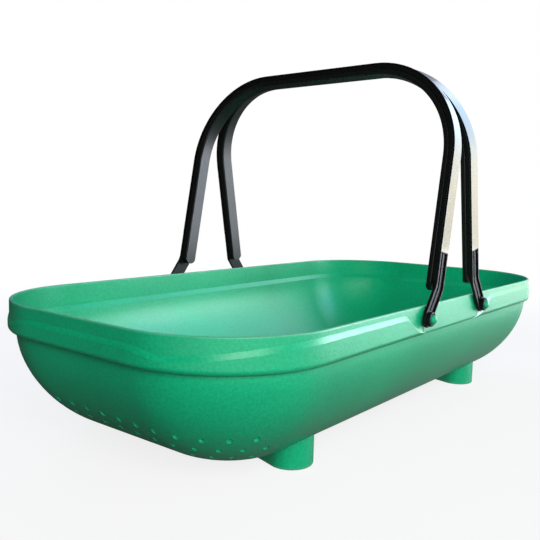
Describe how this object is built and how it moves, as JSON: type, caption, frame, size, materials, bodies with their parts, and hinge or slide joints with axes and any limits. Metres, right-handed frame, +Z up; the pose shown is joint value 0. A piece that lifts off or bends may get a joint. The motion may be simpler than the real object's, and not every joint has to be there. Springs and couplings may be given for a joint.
{
  "type": "colander trug",
  "caption": "Shallow rounded harvest tub with drain holes in one end and the base, drop-shaped feet, and arched handles that meet over the middle and fold down onto the rim.",
  "frame": {"origin": "on the ground under the middle of the tub, level with the undersides of the feet", "axes": "+X along the tub to its right end, +Y across it to the back, +Z up"},
  "size_m": [0.5562, 0.3008, 0.3111],
  "materials": {
    "tub_polypropylene": "satin moulded green polypropylene with a fine grain",
    "stud_polypropylene": "smooth green polypropylene",
    "handle_polypropylene": "satin black polypropylene",
    "grip_elastomer": "dull black, slightly soft",
    "strip_gloss": "polished black"
  },
  "bodies": {
    "tub_body": {"tub": "tub_polypropylene", "foot_front_left": "tub_polypropylene", "foot_front_right": "tub_polypropylene", "foot_back_left": "tub_polypropylene", "foot_back_right": "tub_polypropylene", "pivot_stud_front_left": "stud_polypropylene", "pivot_stud_front_right": "stud_polypropylene", "pivot_stud_back_left": "stud_polypropylene", "pivot_stud_back_right": "stud_polypropylene"},
    "handle_left": {"handle_frame_left": "handle_polypropylene", "handle_grip_left": "grip_elastomer", "handle_strip_left": "strip_gloss"},
    "handle_right": {"handle_frame_right": "handle_polypropylene", "handle_grip_right": "grip_elastomer", "handle_strip_right": "strip_gloss"}
  },
  "joints": [
    {"name": "handle_left_fold", "type": "hinge", "parent": "tub_body", "child": "handle_left", "pos_m": [-0.0555, 0, 0.1015], "axis": [0, -1, 0], "range_deg": [0, 92.5]},
    {"name": "handle_right_fold", "type": "hinge", "parent": "tub_body", "child": "handle_right", "pos_m": [0.0555, 0, 0.1015], "axis": [0, 1, 0], "range_deg": [0, 92.5]}
  ]
}
